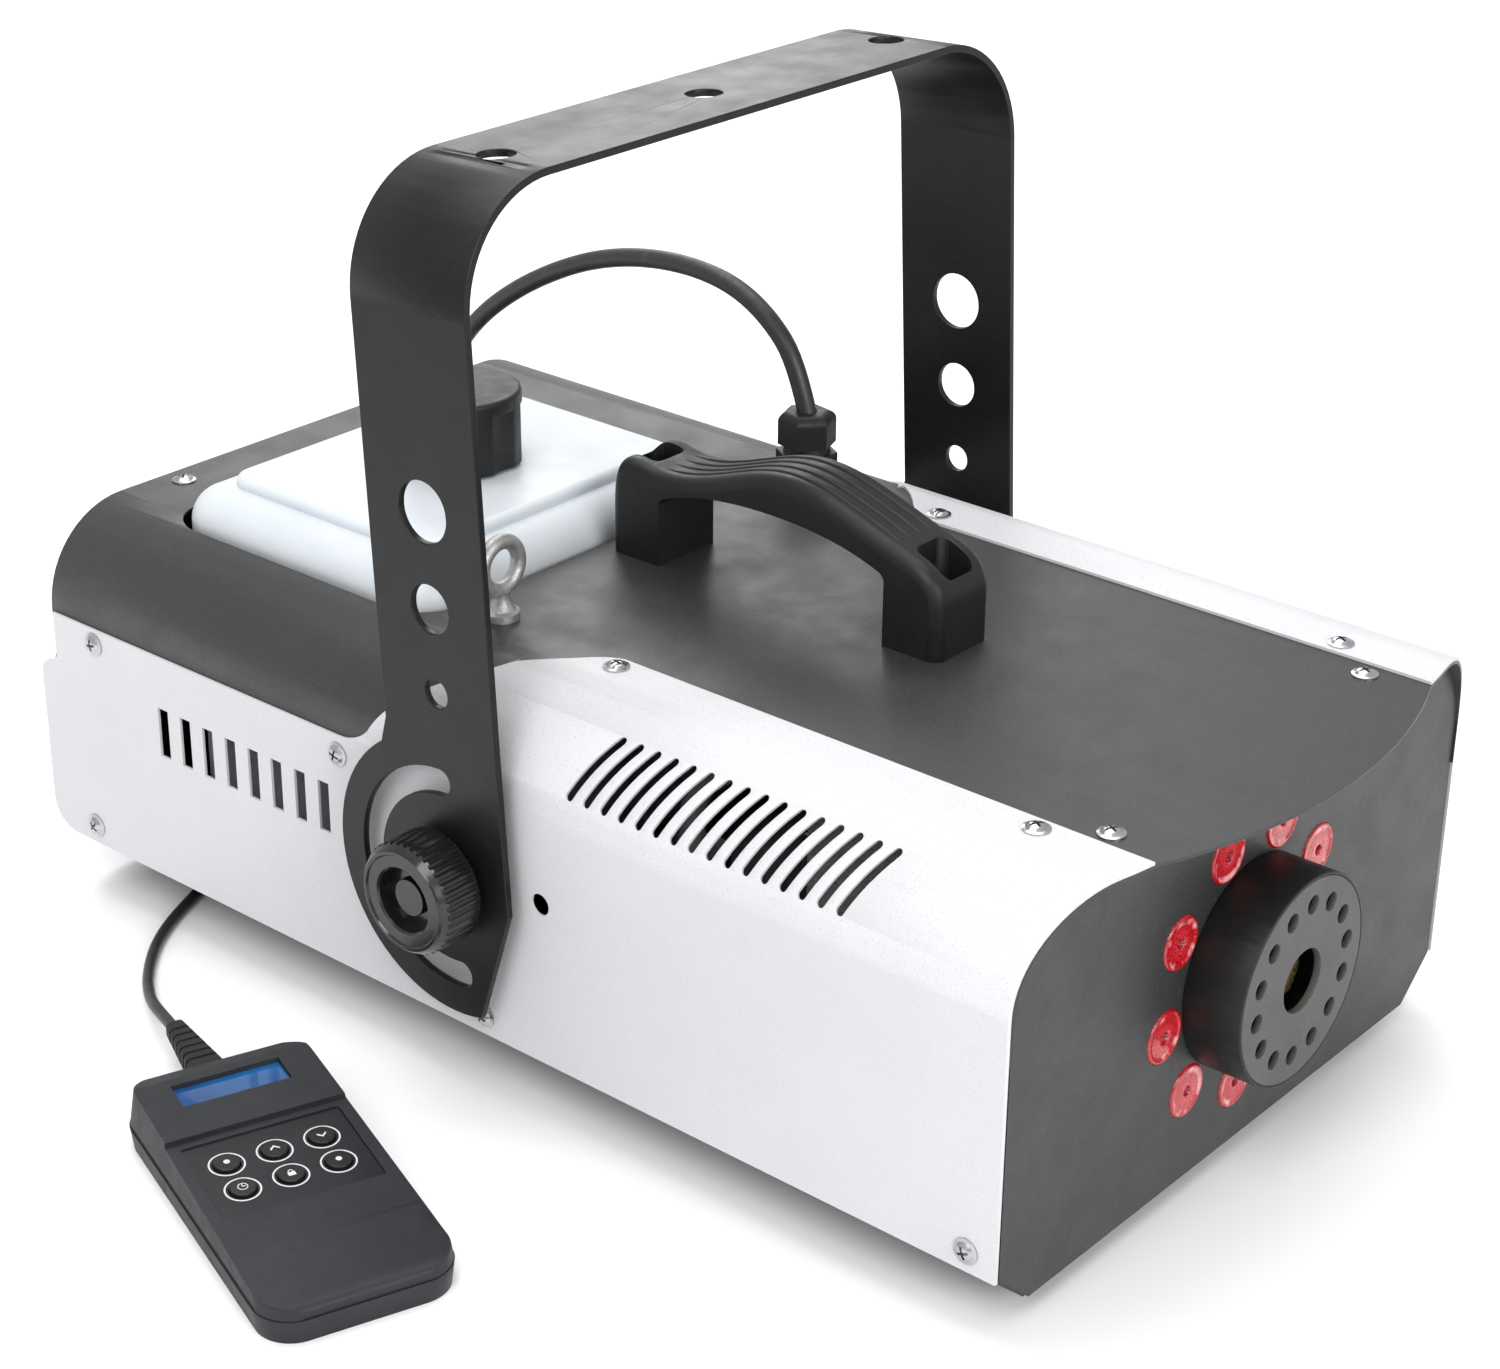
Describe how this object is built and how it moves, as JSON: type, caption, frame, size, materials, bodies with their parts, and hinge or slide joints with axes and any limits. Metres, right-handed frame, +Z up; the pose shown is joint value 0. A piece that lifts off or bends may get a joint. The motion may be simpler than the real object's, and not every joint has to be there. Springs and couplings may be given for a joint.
{
  "type": "fog machine",
  "caption": "Stage fog machine with a tilting yoke bracket, lift-out fluid tank, ring of red lights round the nozzle, carrying handle, mains cord and wired hand controller.",
  "frame": {"origin": "on the floor, in the middle of the four feet", "axes": "+Z up; the nozzle faces -Y; +X to the right looking along +Y"},
  "size_m": [0.4132, 0.5955, 0.304],
  "materials": {
    "cover_black": "matte textured powder coat",
    "side_white": "light silver-grey powder coat, finely speckled",
    "bracket_black": "satin black",
    "bright_zinc": "bright zinc",
    "galvanised": "rough galvanised",
    "steel": "plain steel",
    "aluminium": "cast",
    "brass": "turned",
    "plate_grey": "matte dark grey",
    "knob_black": "gloss black phenolic",
    "handle_black": "matte black nylon",
    "black_plastic": "matte black",
    "tank_plastic": "translucent milky polyethylene",
    "led_red": "glowing red lens",
    "board": "circuit board",
    "wool": "ceramic wool",
    "rubber_black": "matte",
    "hose": "clear silicone",
    "cord_black": "smooth matte black sheath",
    "remote_charcoal": "fine-grained charcoal",
    "keypad_black": "printed sheet",
    "button_black": "satin black",
    "lcd": "blue liquid-crystal display"
  },
  "bodies": {
    "housing": {"base_tray": "cover_black", "cable_gland": "black_plastic", "control_board": "board", "dmx_sockets": "black_plastic", "eyebolt": "galvanised", "feet": "rubber_black", "fluid_hoses": "hose", "front_panel": "cover_black", "fuse_holder": "black_plastic", "gland_nut": "black_plastic", "guide_pins": "steel", "handle": "handle_black", "handle_screws": "bright_zinc", "heater_block": "aluminium", "heater_insulation": "wool", "heater_stand": "steel", "housing_screws": "bright_zinc", "led_board": "board", "led_lenses": "led_red", "mains_coil": "cord_black", "mains_cord": "cord_black", "mains_plug": "rubber_black", "nozzle_plate": "plate_grey", "nozzle_shroud": "black_plastic", "nozzle_tube": "brass", "pivot_spacers": "black_plastic", "pivot_studs": "steel", "power_switch": "black_plastic", "pump": "steel", "rear_panel": "cover_black", "remote_board": "board", "remote_boot": "rubber_black", "remote_case_bottom": "remote_charcoal", "remote_case_top": "remote_charcoal", "remote_coil": "cord_black", "remote_cord": "cord_black", "remote_display": "lcd", "remote_keypad": "keypad_black", "remote_plug": "black_plastic", "remote_socket": "steel", "side_panel_left": "side_white", "side_panel_right": "side_white", "tank_cradle": "steel", "tank_socket": "black_plastic", "thermostat": "steel", "top_cover": "cover_black", "transformer": "steel"},
    "yoke": {"bracket": "bracket_black"},
    "knob_left": {"knob_left": "knob_black"},
    "knob_right": {"knob_right": "knob_black"},
    "fluid_tank": {"tank": "tank_plastic"},
    "filler_cap": {"tank_cap": "black_plastic"},
    "rocker": {"switch_rocker": "led_red"},
    "fuse_drawer": {"fuse_cap": "black_plastic"},
    "key_down": {"button_down": "button_black"},
    "key_lock": {"button_lock": "button_black"},
    "key_manual": {"button_manual": "button_black"},
    "key_menu": {"button_menu": "button_black"},
    "key_timer": {"button_timer": "button_black"},
    "key_up": {"button_up": "button_black"}
  },
  "joints": [
    {"name": "yoke_tilt", "type": "hinge", "parent": "housing", "child": "yoke", "pos_m": [0, 0.005, 0.08], "axis": [1, 0, 0], "range_deg": [-55, 60]},
    {"name": "knob_left_turn", "type": "hinge", "parent": "housing", "child": "knob_left", "pos_m": [-0.136, 0.005, 0.08], "axis": [-1, 0, 0], "continuous": true},
    {"name": "knob_right_turn", "type": "hinge", "parent": "housing", "child": "knob_right", "pos_m": [0.136, 0.005, 0.08], "axis": [1, 0, 0], "continuous": true},
    {"name": "tank_lift", "type": "slide", "parent": "housing", "child": "fluid_tank", "axis": [0, 0, 1], "range_m": [0, 0.05]},
    {"name": "cap_twist", "type": "hinge", "parent": "fluid_tank", "child": "filler_cap", "pos_m": [-0.017, 0.112, 0.17], "axis": [0, 0, 1], "continuous": true},
    {"name": "switch_rock", "type": "hinge", "parent": "housing", "child": "rocker", "pos_m": [0.088, 0.204, 0.1], "axis": [1, 0, 0], "range_deg": [-14, 0]},
    {"name": "fuse_turn", "type": "hinge", "parent": "housing", "child": "fuse_drawer", "pos_m": [0.088, 0.2097, 0.066], "axis": [0, 1, 0], "range_deg": [0, 90]},
    {"name": "down_press", "type": "slide", "parent": "housing", "child": "key_down", "axis": [0.0211, 0.057, -0.9981], "range_m": [0, 0.0008], "stiffness_N_per_m": 300},
    {"name": "lock_press", "type": "slide", "parent": "housing", "child": "key_lock", "axis": [0.0211, 0.057, -0.9981], "range_m": [0, 0.0008], "stiffness_N_per_m": 300},
    {"name": "manual_press", "type": "slide", "parent": "housing", "child": "key_manual", "axis": [0.0211, 0.057, -0.9981], "range_m": [0, 0.0008], "stiffness_N_per_m": 300},
    {"name": "menu_press", "type": "slide", "parent": "housing", "child": "key_menu", "axis": [0.0211, 0.057, -0.9981], "range_m": [0, 0.0008], "stiffness_N_per_m": 300},
    {"name": "timer_press", "type": "slide", "parent": "housing", "child": "key_timer", "axis": [0.0211, 0.057, -0.9981], "range_m": [0, 0.0008], "stiffness_N_per_m": 300},
    {"name": "up_press", "type": "slide", "parent": "housing", "child": "key_up", "axis": [0.0211, 0.057, -0.9981], "range_m": [0, 0.0008], "stiffness_N_per_m": 300}
  ]
}
